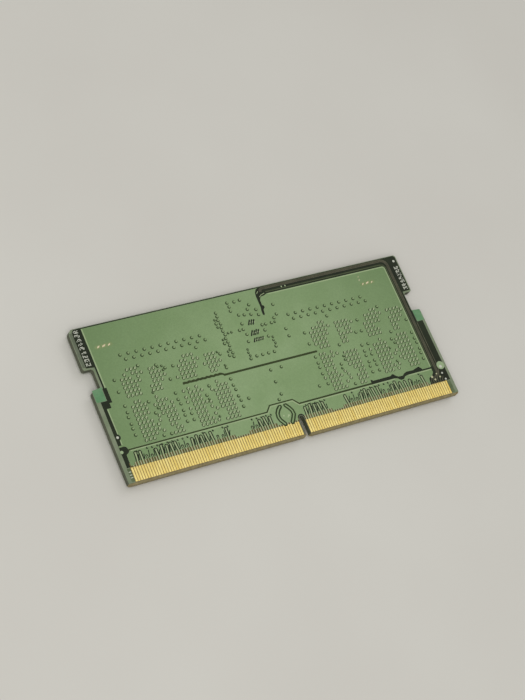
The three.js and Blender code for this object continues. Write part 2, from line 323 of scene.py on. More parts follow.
def keyhole(path, width, radius):
    """A track outline that ends in a round land."""
    points = [Vector(p) for p in path]
    half = width / 2
    left, right = both_sides(points, range(len(points) - 1), half, False)
    angle = direction(points[-2], points[-1])
    opening = math.degrees(math.asin(min(1.0, half / radius)))
    round_end = arc(points[-1].x, points[-1].y, radius, angle - 180 + opening, angle + 180 - opening, 12)
    return [tuple(p) for p in right] + round_end + [tuple(p) for p in reversed(left)]


# ---- meshes and pieces ----


def new_piece(name, mesh, materials, replaces=()):
    piece = bpy.data.objects.new(name, mesh)
    bpy.context.scene.collection.objects.link(piece)
    for material in materials:
        mesh.materials.append(material)
    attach(piece, "root")
    if replaces:
        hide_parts(*replaces)
    return piece


def weld(mesh, distance):
    """Joins the plate's faces and walls into one closed body, without slivers or loose points."""
    bm = bmesh.new()
    bm.from_mesh(mesh)
    bmesh.ops.remove_doubles(bm, verts=bm.verts, dist=distance)
    bmesh.ops.dissolve_degenerate(bm, edges=bm.edges, dist=distance)
    bmesh.ops.delete(bm, geom=[v for v in bm.verts if not v.link_faces], context="VERTS")
    bm.to_mesh(mesh)
    bm.free()


def loops_mesh(name, loops, low, high, rim):
    """A plate between two levels from closed loops (inner ones are holes), with its upper edge chamfered."""
    curve = bpy.data.curves.new(name, "CURVE")
    curve.dimensions = "2D"
    curve.fill_mode = "BOTH"
    curve.extrude = max((high - low) / 2 - rim, 0.0001)
    curve.bevel_depth = rim
    curve.bevel_resolution = 0
    curve.offset = -rim
    for loop in loops:
        spline = curve.splines.new("POLY")
        spline.points.add(len(loop) - 1)
        for point, (x, y) in zip(spline.points, loop):
            point.co = (x, y, 0, 1)
        spline.use_cyclic_u = True
    source = bpy.data.objects.new(name, curve)
    bpy.context.scene.collection.objects.link(source)
    depsgraph = bpy.context.evaluated_depsgraph_get()
    mesh = bpy.data.meshes.new_from_object(source.evaluated_get(depsgraph))
    bpy.data.objects.remove(source)
    bpy.data.curves.remove(curve)
    weld(mesh, 0.0004)
    middle = (low + high) / 2
    mesh.transform(Matrix.Scale(MM, 4) @ Matrix.Translation((0, 0, middle)))
    mesh.materials.clear()
    return mesh


def plate(name, loops, low, high, top, side, rim=RIM, facing=1, replaces=()):
    """A plate whose flat outer face shows one material, and its rims and walls another."""
    mesh = loops_mesh(name, loops, low, high, min(rim, (high - low) / 2 - 0.0005))
    for face in mesh.polygons:
        face.material_index = 0 if face.normal.z * facing > 0.95 else 1
    new_piece(name, mesh, [top, side], replaces)


def film(name, loops, low, high, material, rim=0.001, facing=1):
    """A thin plate of one material."""
    plate(name, loops, low, high, material, material, rim, facing)


def disc_mesh(name, discs, low, high, sides=10):
    """Short round studs that may overlap: each disc is (x, y, radius), with its outer face at high."""
    bm = bmesh.new()
    up = high > low
    for x, y, radius in discs:
        ring = circle(*place(x, y), radius, sides)
        outer = [bm.verts.new((a * MM, b * MM, high * MM)) for a, b in ring]
        inner = [bm.verts.new((a * MM, b * MM, low * MM)) for a, b in ring]
        faces = [outer, inner[::-1]]
        for i in range(sides):
            j = (i + 1) % sides
            faces.append([inner[i], inner[j], outer[j], outer[i]])
        for face in faces:
            bm.faces.new(face if up else face[::-1])
    mesh = bpy.data.meshes.new(name)
    bm.to_mesh(mesh)
    bm.free()
    return mesh


def studs(name, discs, low, high, material, sides=10):
    new_piece(name, disc_mesh(name, discs, low, high, sides), [material])


def add_box(bm, low, high, bevel):
    """Adds a box with softened edges, given by two opposite corners in millimetres."""
    low, high = Vector(low), Vector(high)
    matrix = Matrix.Translation((low + high) / 2 * MM) @ Matrix.Diagonal((*((high - low) * MM), 1.0))
    verts = bmesh.ops.create_cube(bm, size=1.0, matrix=matrix)["verts"]
    edges = list({edge for vert in verts for edge in vert.link_edges})
    bmesh.ops.bevel(bm, geom=edges, offset=bevel * MM, segments=2, profile=0.5, affect="EDGES")


def finish_mesh(name, bm, smooth=False):
    mesh = bpy.data.meshes.new(name)
    bmesh.ops.recalc_face_normals(bm, faces=bm.faces)
    bm.to_mesh(mesh)
    bm.free()
    for face in mesh.polygons:
        face.use_smooth = smooth
    return mesh


# ---- back face: areas under the mask ----

ROOT_LOW, ROOT_HIGH = 3.32, 3.78
PLAIN_ROOTS = [(29.4, 29.9), (8.0, 10.45), (-3.75, 0.75), (-12.4, -9.5), (-33.3, -32.4)]
SLOT_X, SLOT_END_Y = 1.375, 3.5
LINE_Y = 6.2
LINE_HALF = 0.12


def shade_outline():
    """Where inner copper planes darken the mask: nearly the whole board, short of its edges and tabs."""
    slot = arc(SLOT_X, SLOT_END_Y, 0.56, 180, 0)
    return [
        (-34.05, 3.1), (0.81, 3.1), *slot, (1.94, 3.1), (34.3, 3.1), (34.3, 15.8), (33.05, 15.8),
        (33.05, 18.2), (32.93, 18.3), (32.93, 22.3), (34.62, 22.35), (34.62, 29.5), (34.3, 29.9),
        (-33.7, 29.9), (-34.15, 29.4), (-34.15, 22.35), (-32.6, 22.2), (-32.6, 18.1), (-32.75, 18.0),
        (-32.75, 15.7), (-34.0, 15.7), (-34.05, 7.2), (-34.05, 5.4),
    ]


def main_copper_outline():
    """The large pour above the long clearance line."""
    y = LINE_Y + LINE_HALF
    lower = [
        (-32.5, y), (-4.75, y), (-3.75, y + 1.1), (1.15, y + 1.1), (2.15, y + 0.06), (17.95, y + 0.1),
        (18.0, 7.0), (18.3, 6.95), (18.5, 6.72), (22.4, 6.72), (22.75, 6.95), (23.1, 6.95), (23.5, 6.5),
        (24.0, 6.22), (24.9, 6.18), (25.3, 6.5), (26.0, 6.75), (27.5, 6.7), (28.0, 6.85), (28.9, 7.1),
        (29.3, 6.75), (29.5, 6.38), (31.5, 6.38),
    ]
    upper = [
        *arc(30.9, 27.7, 0.6, 0, 90), (5.2, 28.3), (4.6, 28.05), (3.7, 27.9), (3.35, 27.3), (3.3, 26.25),
        (3.65, 26.05), (3.6, 25.7), (3.2, 25.3), (3.1, 24.5), (2.9, 24.2), (2.64, 24.45), (2.68, 25.2),
        (2.84, 25.9), (2.84, 28.2), (2.96, 28.9), (3.35, 29.5), (3.8, 29.72),
    ]
    left = [
        (-32.3, 29.72), (-32.3, 18.05), (-31.95, 18.05), (-31.95, 15.2), (-32.5, 15.2), (-32.5, 14.25),
        (-33.4, 14.25), *arc(-33.55, 8.8, 0.6, 70, -70), (-33.4, 7.25), (-34.0, 7.25), (-34.0, 6.95),
        *arc(-33.2, 6.3, 0.68, 100, 20),
    ]
    return lower + upper + left


def root_level(x):
    return ROOT_LOW if any(a <= x <= b for a, b in PLAIN_ROOTS) else ROOT_HIGH


def root_edge(first, last, signals):
    """The pour's lower edge from right to left: steps at the plain stretches, a keyhole for each signal."""
    stops = [(b, "enter", a) for a, b in PLAIN_ROOTS if last < b < first or last < a < first]
    keyholes = {path[0][0]: path for path in signals if last < path[0][0] < first}
    stops += [(x, "signal", None) for x in keyholes]
    edge = []
    for x, kind, end in sorted(stops, key=lambda stop: -stop[0]):
        if kind == "signal":
            path = keyholes[x]
            edge += keyhole([(x, ROOT_HIGH), *path[1:]], *clearance(path))
        else:
            right, left = min(x, first), max(end, last)
            edge += [] if right == first else [(right, ROOT_HIGH)]
            edge += [(right, ROOT_LOW), (left, ROOT_LOW)]
            edge += [] if left == last else [(left, ROOT_HIGH)]
    return edge


def lower_copper_outline(signals):
    """The strip of pour between the clearance line and the roots of the contacts."""
    y = LINE_Y - LINE_HALF
    slot_right, slot_left = SLOT_X + 0.74, SLOT_X - 0.74
    slot = [(slot_right, ROOT_HIGH), *arc(SLOT_X, ROOT_HIGH - 0.2, 0.74, 20, 160), (slot_left, ROOT_HIGH)]
    top = [
        (-33.2, 5.3), *arc(-33.2, 6.3, 0.8, -80, -20), (-4.65, y), (-3.65, y + 1.1), (1.05, y + 1.1),
        (2.05, y), (17.9, y), (23.0, y), (23.6, 5.95), (24.2, 5.45), (24.9, 5.5), (25.3, 5.95), (26.0, y),
        (31.4, y), (31.4, 5.3), (30.9, 4.7), (30.1, 4.4), (29.95, 4.0),
    ]
    right_part = [(29.9, ROOT_LOW)] + root_edge(29.9, slot_right, signals)
    return top + right_part + slot + root_edge(slot_left, -33.2, signals)


def centre_slit():
    """The clearance line across the middle: straight on the right, ragged where it passes the vias."""
    ragged_left, ragged_right, step = -18.0, -9.9, 0.45
    upper, lower = [], []
    for i in range(int((ragged_right - ragged_left) / step) + 1):
        x = ragged_left + i * step
        wobble = 0.07 * math.sin(7.1 * x) + 0.03 * math.sin(17.3 * x)
        upper.append((x, 15.42 + 0.15 + wobble))
        lower.append((x, 15.42 - 0.3 + wobble * 0.6))
    return lower + [(-9.7, 14.8), *arc(9.9, 15.0, 0.2, -90, 90), (-9.5, 15.2)] + upper[::-1]


# ---- back face: vias ----

VIA_PITCH = 0.8
ANTIPAD = 0.34
LAND_RADIUS = 0.2
# Lands sit off-centre in their clearance rings, so each dark ring is wider on its lower-left side: a painted
# shade crescent over the real ring.
LAND_SHIFT = (0.05, 0.03)
LONE_SHIFT = (0.1, 0.06)
OVAL_WIDTH = 0.33
OVAL_REACH = (0.055, 0.095)
HOLE_RADIUS = 0.075
CLOSEST = 2 * ANTIPAD + 0.05
TOUCHING = 0.34
# Chances of a via: within a band, outside its ragged corners, and in its thin rows and columns.
KEPT, DROPPED, SCARCE = 0.97, 0.05, 0.4


def dram_vias(draw):
    """Vias between the balls of each package: bands below and above the middle, ragged at their corners."""
    found = []
    for centre in DRAM_X:
        for side, first in ((-1, -3.7), (1, 1.25)):
            for column in range(5):
                x = centre + first + VIA_PITCH * column
                inner = column if side < 0 else 3 - column
                for row in range(10 if column < 4 else 0):
                    sparse = inner == 3 and row < (8 if side < 0 else 5)
                    if draw.random() < (SCARCE if sparse or row == 9 else KEPT):
                        found.append((x, 6.98 + VIA_PITCH * row))
                for row in range(7):
                    if side < 0:
                        outside = row > 4 + column or (column == 4 and row < 3)
                    else:
                        outside = column == 0 or row == 6 or (column > 2 and row < column - 1)
                    if draw.random() < (DROPPED if outside else KEPT):
                        found.append((x, 15.5 + VIA_PITCH * row))
    return found


def loose_vias(draw):
    """Scattered vias down the middle of each package."""
    found = []
    for centre in DRAM_X:
        for i in range(10):
            found.append((centre + draw.uniform(-0.9, 0.75), 7.1 + 0.72 * i + draw.uniform(-0.12, 0.12)))
        found += [(centre - 0.6, 18.6), (centre + 0.35, 19.3), (centre + 0.9, 15.1)]
    return found


def cap_row_vias():
    """Two staggered rows of vias over each pair of packages."""
    starts = [start + 1.6 * i for start in (-27.2, 7.55) for i in range(11)]
    return [spot for x in starts for spot in ((x, 23.3), (x + 0.75, 22.3))]


def power_column_vias():
    """Loose columns of vias between the packages."""
    columns = (-30.15, -20.0, -18.55, -8.7, 9.25, 19.35, 20.75, 30.8)
    heights = (19.0, 16.7, 13.95, 12.7, 11.8, 10.5, 9.6, 8.4)
    return [(x + 0.12 * math.sin(5 * y + x), y) for x in columns for y in heights]


def converter_vias():
    """The vias round the power controller, its inductors and its capacitors."""
    strip_left = [(-6.4 + 0.12 * math.sin(2.3 * i), 17.9 + 0.74 * i) for i in range(13)]
    strip_left += [(-7.12, y) for y in (18.3, 19.05, 20.7, 21.45, 24.0, 24.75, 25.5)]
    left_column = [(-3.35 + 0.12 * (i % 2), 16.7 + 0.62 * i) for i in range(4)]
    upper_column = [(-3.35 + 0.1 * (i % 2), 26.5 + 0.85 * i) for i in range(3)]
    bottom_row = [(-2.0 + 1.24 * i, 16.95) for i in range(4)]
    right_column = [(2.5 + 0.15 * (i % 2), 17.9 + 0.62 * i) for i in range(4)]
    middle_row = [(x, 22.5) for x in (-5.6, -4.9, -3.2, -2.4, 1.6, 2.35, 3.6, 4.3)]
    scattered = [
        (-1.9, 28.1), (-0.7, 28.2), (0.7, 26.9), (0.05, 26.1), (-2.1, 25.4), (-1.0, 25.2), (0.35, 25.0),
        (1.7, 25.7), (1.8, 24.6), (-2.2, 23.6), (4.5, 23.3), (5.3, 23.9), (-2.1, 21.4), (1.7, 21.4),
        (-2.4, 20.0), (1.9, 20.1), (5.9, 20.7), (5.9, 19.2), (5.45, 25.9), (-0.55, 13.7), (1.75, 13.8),
        (-0.6, 11.3), (-0.55, 8.8), (7.5, 8.4), (-7.0, 9.6), (-8.7, 16.2), (-24.8, 20.6), (-21.5, 19.9),
        (-12.8, 21.3), (15.1, 21.2), (26.1, 20.6), (-1.4, 7.9),
    ]
    return strip_left + left_column + upper_column + bottom_row + right_column + middle_row + scattered


def knot_strokes(draw):
    """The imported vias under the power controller: slanting gaps in three knots, with lands between them."""
    gaps, lands = [], []
    for x, y, count, length in ((-0.25, 23.5, 3, 0.95), (-0.4, 21.4, 4, 0.9), (-0.2, 20.0, 5, 0.6)):
        for i in range(count):
            left = x + 0.45 * (i - (count - 1) / 2) + draw.uniform(-0.04, 0.04)
            reach = length * draw.uniform(0.8, 1.0) / 2
            middle = y + draw.uniform(-0.04, 0.04)
            gaps.append([(left - reach * 0.6, middle - reach), (left + reach * 0.6, middle + reach)])
            lands.append([(left + 0.14, middle - reach * 0.25), (left + 0.3, middle + reach * 0.15)])
    return gaps, lands


def in_main_copper(x, y):
    """True where a via of the main pour keeps clear of its edges, of the slit and of the hook."""
    inside = -31.7 < x < 31.0 and 6.85 < y < 29.2
    in_slit = -18.5 < x < 10.4 and 14.55 < y < 15.85
    in_hook = (2.3 < x < 4.3 and y > 23.9) or (x > 3 and y > 27.6)
    in_line = (-4.6 < x < 2.0 and y < 7.9) or (x > 17.5 and y < 7.6)
    return inside and not (in_slit or in_hook or in_line)


def well_spaced(points):
    """Splits the points into those that keep their distance from the ones before them, and the rest."""
    kept, tight = [], []
    for x, y in points:
        if not in_main_copper(x, y):
            continue
        gaps = [(x - a) ** 2 + (y - b) ** 2 for a, b in kept + tight]
        nearest = math.sqrt(min(gaps)) if gaps else CLOSEST * 2
        if nearest > CLOSEST:
            kept.append((x, y))
        elif nearest > TOUCHING:
            tight.append((x, y))
    return kept, tight


def under_package(x, y):
    return abs(x) > 9.0 and y < 21.0


def neighbours(point, points):
    """How many vias lie within one and a half pitches."""
    reach = (1.5 * VIA_PITCH) ** 2
    return sum(0 < (point[0] - x) ** 2 + (point[1] - y) ** 2 < reach for x, y in points)


def oval(x, y):
    """A via land, set off-centre and drawn out along a slant: a real land with a painted highlight stroke."""
    x, y = x + LAND_SHIFT[0], y + LAND_SHIFT[1]
    across, along = OVAL_REACH
    return strip([(x - across, y - along), (x + across, y + along)], OVAL_WIDTH)


def surface_vias(name, points, top_z, up=1, ring=0.27, land=0.1, material=SHADE_GREEN):
    """Vias shown on the pour: a dark ring and a land, each a thin stud."""
    base = top_z - 0.006 * up
    shifted = [(x + LONE_SHIFT[0] * 0.9, y + LONE_SHIFT[1] * 0.9, land) for x, y in points]
    studs(name + "_gaps", [(x, y, ring) for x, y in points], base, top_z + 0.002 * up, material)
    studs(name + "_lands", shifted, base, top_z + 0.006 * up, SOFT_LAND)


# ---- back face: tracks at the contacts ----

CLOCK_LEFT = [(-1.85, 6.6), (-2.45, 6.05), (-2.85, 5.45), (-2.97, 4.75), (-2.8, 4.1), (-2.2, 3.2)]
CLOCK_RIGHT = [(-0.7, 6.6), (-0.2, 5.95), (0.15, 5.3), (0.2, 4.6), (-0.15, 4.0), (-0.7, 3.2)]
TRACK_TOPS = (5.4, 4.3, 5.15, 4.35, 5.45, 5.3, 5.05)
LONG_TRACK_TOP = 4.9
TALL_STRETCHES = ((-14.6, -12.4), (-11.2, -9.6), (5.4, 8.2))
TRACK_BEND = 3.9


def clearance(path):
    """Width and end radius of the gap round a signal track: the long tracks stand in wide gaps."""
    return (0.68, 0.37) if path[-1][1] > LONG_TRACK_TOP else (0.42, 0.27)


def track_size(path):
    """Width and end radius of a signal track."""
    return (0.26, 0.19) if path[-1][1] > LONG_TRACK_TOP else (0.14, 0.12)


def signal_paths(draw):
    """One short track and via for every second contact, except beside the slot and in the plain stretches."""
    paths = []
    for bank in (LEFT_BANK, RIGHT_BANK):
        for i, x in enumerate(bank[1::2]):
            near_plain = x > 29.3 or any(a - 0.35 < x < b + 0.35 for a, b in PLAIN_ROOTS)
            if near_plain or SLOT_X - 1.3 < x < SLOT_X + 1.3:
                continue
            top = TRACK_TOPS[(i * 5 + 2) % len(TRACK_TOPS)] + draw.uniform(-0.1, 0.06)
            if 23.0 < x < 25.9:
                top = min(top, 4.95)
            if any(a < x < b for a, b in TALL_STRETCHES):
                top = max(top, 5.25)
            sway = 0.2 * math.sin(1.1 * i + 0.7) + draw.uniform(-0.02, 0.02)
            lean = sway * (top - TRACK_BEND) / 1.55
            bend = TRACK_BEND + (top - TRACK_BEND) * 0.2
            paths.append([(x, CONTACT_TOP), (x, TRACK_BEND), (x + lean * 0.4, bend), (x + lean, top)])
    return paths


def root_vias(paths, draw):
    """Small vias in a ragged row between the ends of the signal tracks."""
    found = []
    for path in paths:
        x = path[0][0] + 0.52 + draw.uniform(-0.04, 0.04)
        y = 5.62 + draw.uniform(-0.06, 0.04)
        if draw.random() < 0.8 and not 22.6 < x < 26.2:
            found.append((x, y))
    return found


def root_gaps(paths, draw):
    """Slanting clearances of the layer below, showing between the signal tracks."""
    found = []
    for path in paths:
        x = path[0][0] + 0.5
        chance = 0.95 if abs(x) < 15.0 else 0.6
        if draw.random() < chance and not any(a - 0.6 < x < b + 0.3 for a, b in PLAIN_ROOTS):
            lean, top = draw.uniform(0.04, 0.16), draw.uniform(4.7, 5.3)
            found.append([(x - lean, ROOT_HIGH + 0.2), (x, 4.5), (x + lean, top)])
    return found


def necks(paths):
    """A short neck for each contact that joins the pour, wide enough to reach it."""
    taken = {round(path[0][0], 2) for path in paths}
    free = [x for x in LEFT_BANK[1:] + RIGHT_BANK if round(x, 2) not in taken and x < 29.8]
    return [rectangle(x - 0.09, CONTACT_TOP - 0.02, x + 0.09, root_level(x) + 0.06) for x in free]


def band_tracks():
    """The tracks that run along the far edge and down the right side to the contacts."""
    tracks = []
    turn_x, turn_y = 31.0, 28.2
    for radius, end_x in ((1.5, 31.7), (1.3, 31.2), (1.1, 30.7)):
        start = arc(4.7, turn_y + 0.7, radius - 0.7, 180, 90, 5)
        down_x = turn_x + radius
        tail = [(down_x, 5.2), (down_x - 0.15, 4.8), (end_x, 3.9), (end_x, CONTACT_TOP)]
        tracks.append(start + arc(turn_x, turn_y, radius, 90, 0, 8) + tail)
    tracks.append([(32.92, 15.6), (32.92, 6.2), (32.75, 5.4), (32.35, 4.4), (32.2, CONTACT_TOP)])
    tracks.append([(30.2, CONTACT_TOP), (30.22, 3.8), (30.75, 4.45)])
    tracks.append([(32.7, CONTACT_TOP), (32.7, 3.5), (33.1, 4.05)])
    return tracks


def pour_edge_highlights():
    """Painted highlight strips just inside the long edges of the pours, partly where the mask is thin over
    the copper edge.
    """
    low = LINE_Y - LINE_HALF - 0.13
    right = 31.5 - 0.14
    top = 28.3 - 0.14
    jog = [(-32.2, low), (-4.6, low), (-3.6, low + 1.08), (1.0, low + 1.08), (2.0, low), (17.8, low)]
    return [
        jog,
        [(18.2, low), (22.9, low)],
        [(26.2, low), (31.2, low)],
        [(right, 6.6), (right, 27.6), *arc(30.9, 27.7, 0.46, 10, 80), (30.7, top), (5.4, top)],
        [(-33.26, 7.4), (-33.26, 8.1)],
        [(-33.26, 9.5), (-33.26, 14.1)],
        [(-32.16, 18.2), (-32.16, 29.6)],
    ]


# ---- back face: pieces ----


def build_back_copper(signals, draw):
    wanted = converter_vias() + cap_row_vias() + power_column_vias() + dram_vias(draw) + loose_vias(draw)
    lands, tight = well_spaced(wanted)
    grouped = [p for p in lands if neighbours(p, lands) > 1 and under_package(*p)]
    lone = [p for p in lands if p not in grouped]

    film("back_shade", [placed(shade_outline())], BACK_Z - 0.002, SHADE_Z, SHADE, rim=RIM)
    holes = [placed(centre_slit())] + [circle(*place(x, y), ANTIPAD) for x, y in lands]
    plate("back_copper_main", [placed(main_copper_outline())] + holes, BACK_Z, COPPER_Z, GREEN, PALE_GREEN_AND_EDGE_HIGHLIGHT)
    outline = placed(lower_copper_outline(signals))
    plate("back_copper_lower", [outline], BACK_Z, COPPER_Z, GREEN, PALE_GREEN_AND_EDGE_HIGHLIGHT)
    for name, spots, material in (("gap", lone, SHADE_GREEN), ("group", grouped, DEEP_GREEN)):
        discs = [(x, y, ANTIPAD + 0.03) for x, y in spots]
        studs(f"back_{name}_floors", discs, BACK_Z, SHADE_Z + 0.002, material)
    land_z = COPPER_Z + 0.004
    film("back_grouped_lands", [placed(oval(x, y)) for x, y in grouped], BACK_Z, land_z, LAND, rim=0.03)
    rounds = [circle(*place(x + LONE_SHIFT[0], y + LONE_SHIFT[1]), LAND_RADIUS, 10) for x, y in lone]
    film("back_lone_lands", rounds, BACK_Z, land_z, SOFT_LAND, rim=0.03)
    marks = [(x + LAND_SHIFT[0], y + LAND_SHIFT[1], HOLE_RADIUS) for x, y in grouped]
    marks += [(*path[-1], HOLE_RADIUS) for path in signals]
    studs("back_via_dimples", marks, COPPER_Z, COPPER_Z + 0.0055, HOLE, sides=8)
    surface_vias("back_close_vias", tight, COPPER_Z)


def build_back_gaps(signals, draw):
    """The dark marks on the pour, and the floors of its two long clearances."""
    base, top = COPPER_Z - 0.01, COPPER_Z + 0.002
    gaps, shine = knot_strokes(draw)
    film("back_knot_gaps", strips(gaps, 0.29), base, top, SHADE)
    film("back_knot_lands", strips(shine, 0.12), base, COPPER_Z + 0.005, LAND, rim=0.002)
    surface_vias("back_root_vias", root_vias(signals, draw), COPPER_Z, ring=0.2, land=0.07, material=SHADE)
    film("back_root_gaps", strips(root_gaps(signals, draw), 0.17), base, top, SHADE)
    slit = [(-18.2, 15.35), (-9.9, 15.3), (-9.4, 15.0), (9.9, 15.0)]
    film("back_slit_floor", strips([slit], 0.8), BACK_Z, SHADE_Z + 0.0025, LINE_GREEN)
    jog_y = LINE_Y + 1.1
    line = [(-32.5, LINE_Y), (-4.7, LINE_Y), (-3.7, jog_y), (1.1, jog_y), (2.1, LINE_Y), (17.9, LINE_Y)]
    film("back_line_floor", strips([line], 0.3), BACK_Z, SHADE_Z + 0.003, LINE_GREEN)


def build_signal_tracks(signals):
    tracks = [placed(keyhole(path, *track_size(path))) for path in signals]
    plate("back_signal_tracks", tracks, BACK_CORE_Z, COPPER_Z - 0.002, TRACK, GREEN, rim=0.02)
    joins = [placed(neck) for neck in necks(signals)]
    plate("back_contact_necks", joins, BACK_CORE_Z, COPPER_Z - 0.004, NECK, PALE_GREEN_AND_EDGE_HIGHLIGHT, rim=0.02)
    ends = ((LEFT_BANK[0] - 0.2, SLOT_X - 0.65), (SLOT_X + 0.65, 29.9))
    beds = [placed(rectangle(a, CONTACT_TOP, b, ROOT_HIGH + 0.05)) for a, b in ends]
    film("back_root_beds", beds, BACK_Z, SHADE_Z + 0.004, ROOT_BED)


def build_clock_pair():
    pair = (CLOCK_LEFT, CLOCK_RIGHT)
    film("back_clock_gaps", strips(pair, 0.86), COPPER_Z - 0.01, COPPER_Z + 0.002, DEEP_GREEN)
    spots = [(-1.85, 4.75, 0.17), (-0.85, 4.6, 0.2), (-1.1, 4.35, 0.12)]
    studs("back_clock_spots", spots, COPPER_Z - 0.005, COPPER_Z + 0.006, LAND)
    plate("back_clock_tracks", strips(pair, 0.26), COPPER_Z - 0.008, COPPER_Z + 0.012, GREEN, PALE_GREEN_AND_EDGE_HIGHLIGHT,
          rim=0.01)


def build_band():
    """The bundle of tracks in the dark band, the painted highlight strips along the pour edges and the hook
    at its start.
    """
    film("back_band_tracks", strips(band_tracks(), 0.13), BACK_Z, COPPER_Z - 0.006, TRACE_MASK, rim=0.02)
    stripe = [(5.2, 28.66), (30.6, 28.66), (31.3, 28.5), (31.72, 27.9), (31.72, 6.6)]
    film("back_band_edge", strips([stripe], 0.24), BACK_Z, COPPER_Z - 0.01, STRIPE, rim=0.02)
    spots = [(30.75, 4.45, 0.24), (31.2, 3.8, 0.2), (32.45, 4.1, 0.18), (31.95, 4.85, 0.15)]
    studs("back_band_lands", spots, BACK_Z, COPPER_Z + 0.002, NECK, sides=12)
    # Painted highlight strips just inside the long edges of the pours.
    gleam_z = COPPER_Z + 0.003
    film("back_pour_edge_highlights", strips(pour_edge_highlights(), 0.2), COPPER_Z - 0.005, gleam_z, EDGE_GLEAM, rim=0.002)
    hook = [[(3.5, 27.95), (3.95, 28.25), (4.7, 28.45)], [(3.25, 28.7), (3.6, 29.05)]]
    film("back_hook_tracks", strips(hook, 0.12), BACK_Z, COPPER_Z - 0.004, TRACK, rim=0.01)
    ticks = [placed(rectangle(x - 0.1, 28.81, x + 0.1, 29.13)) for x in (8.7, 9.5)]
    plate("back_band_ticks", ticks, BACK_Z, COPPER_Z, LAND, PALE_GREEN_AND_EDGE_HIGHLIGHT, rim=0.02)


def build_back_tabs():
    """Clear laminate at the latch notches, with no copper behind it, and the bare land beside each end."""
    base, top = BACK_Z - 0.004, BACK_Z + 0.003
    left = [(-34.72, 15.75), (-32.85, 15.75), (-32.85, 17.95), (-32.7, 18.1), (-32.7, 18.35), (-34.72, 18.1)]
    right = [(33.15, 15.85), (34.72, 15.85), (34.72, 18.1), (33.05, 18.25)]
    sides = [rectangle(-34.7, 22.5, -34.17, 29.3), rectangle(-34.17, 29.92, 3.0, 29.985)]
    corners = [rectangle(-34.15, 0.5, -33.5, 2.98), rectangle(33.5, 0.5, 34.15, 2.98)]
    for name, loops, material in (("clear_tabs", [left, right], TEAL), ("side_strips", sides, SIDE_MASK),
                                  ("clear_corners", corners, CORNER)):
        film("back_" + name, [placed(loop) for loop in loops], base, top, material)
    marks = [placed(rectangle(-34.05, y - 0.07, -33.6, y + 0.07)) for y in (1.25, 1.75, 2.3)]
    film("back_corner_marks", marks, BACK_Z, BACK_Z + 0.014, INK, rim=0.003)
    pads = [(33.6, 6.25, 0.82), (-33.85, 6.05, 0.3)]
    studs("back_round_pads", pads, BACK_Z, COPPER_Z, PALE_GREEN_AND_EDGE_HIGHLIGHT, sides=20)
    spots = [(33.5, 6.0, 0.3), (-33.55, 8.8, 0.24), (33.4, 3.4, 0.2), (33.2, 4.7, 0.18)]
    studs("back_bare_spots", spots, BACK_Z, COPPER_Z + 0.012, INK, 14)


def legend_block(x, y, seed):
    """A generic block mark, three by five cells, that spells nothing."""
    draw = random.Random(seed)
    cell = 0.19
    half = cell * 0.42
    marks = []
    for row in range(5):
        for column in [column for column in range(3) if draw.random() < 0.62] or [1]:
            cx, cy = x + (row - 2) * cell, y + (column - 1) * cell
            marks.append(rectangle(cx - half, cy - half, cx + half, cy + half))
    return marks


def build_back_legend():
    """Two rows of block marks, a dot, and the short bare dashes with their paler surrounds."""
    marks = []
    for x, step, count, seed in ((-33.45, 0.8, 9, 30), (33.9, 0.74, 7, 60)):
        for i in range(count):
            marks += legend_block(x, 22.95 + step * i, seed + i)
    marks.append(circle(34.0, 28.8, 0.25, 14))
    loops = [placed(mark) for mark in marks]
    film("back_legend", loops, SHADE_Z - 0.001, SHADE_Z + 0.012, INK, rim=0.002)

    spots = ((-30.45, 25.7, 0.6), (-29.4, 25.7, 0.75), (-28.35, 25.7, 0.6), (25.4, 25.7, 0.5),
             (26.4, 25.75, 0.75), (27.4, 25.7, 0.5), (25.0, 26.65, 0.35), (25.1, 27.35, 0.3))
    lean = 0.14
    dashes = []
    for x, y, length in spots:
        a, b = x - length / 2, x + length / 2
        dashes.append(placed([(a, y - 0.24), (b - lean, y - 0.08), (b, y + 0.24), (a + lean, y + 0.08)]))
    beds = [[(-30.8, 25.65), (-28.0, 25.75)], [(25.1, 25.65), (27.7, 25.75)]]
    film("back_dash_beds", strips(beds, 0.75), COPPER_Z - 0.003, COPPER_Z + 0.002, DASH_BED)
    film("back_bare_dashes", dashes, COPPER_Z - 0.002, COPPER_Z + 0.015, WARM_INK, 0.002)


def build_contacts():
    """Separate gold pads, with a bright face and softened rims in a darker gold, in place of the plain combs.
    """
    half = CONTACT_WIDTH / 2
    for face, core, toward in (("back", BACK_CORE_Z, 1), ("front", FRONT_CORE_Z, -1)):
        for bank, xs in (("left", LEFT_BANK), ("right", RIGHT_BANK)):
            node = f"contacts_{face}_{bank}"
            low, high = node_box(node)
            bottom, top = sorted((core - 0.01 * toward, high.z if toward > 0 else low.z))
            pads = [placed(rectangle(x - half, 0.42, x + half, CONTACT_TOP + 0.08)) for x in xs]
            plate(node + "_pads", pads, bottom, top, GOLD, GOLD_RIM, 0.02, toward, (node,))
            bed = placed(rectangle(xs[0] - 0.24, 0.4, xs[-1] + 0.24, CONTACT_TOP + 0.1))
            bottom, top = sorted((core - 0.01 * toward, core + 0.004 * toward))
            film(node + "_bed", [bed], bottom, top, BARE_BED, facing=toward)


def build_back_face():
    draw = random.Random(7)
    signals = signal_paths(draw)
    build_back_copper(signals, draw)
    build_back_gaps(signals, draw)
    build_signal_tracks(signals)
    build_clock_pair()
    build_band()
    build_back_tabs()
    build_back_legend()


build_back_face()
build_contacts()

# ---- front face: copper ----


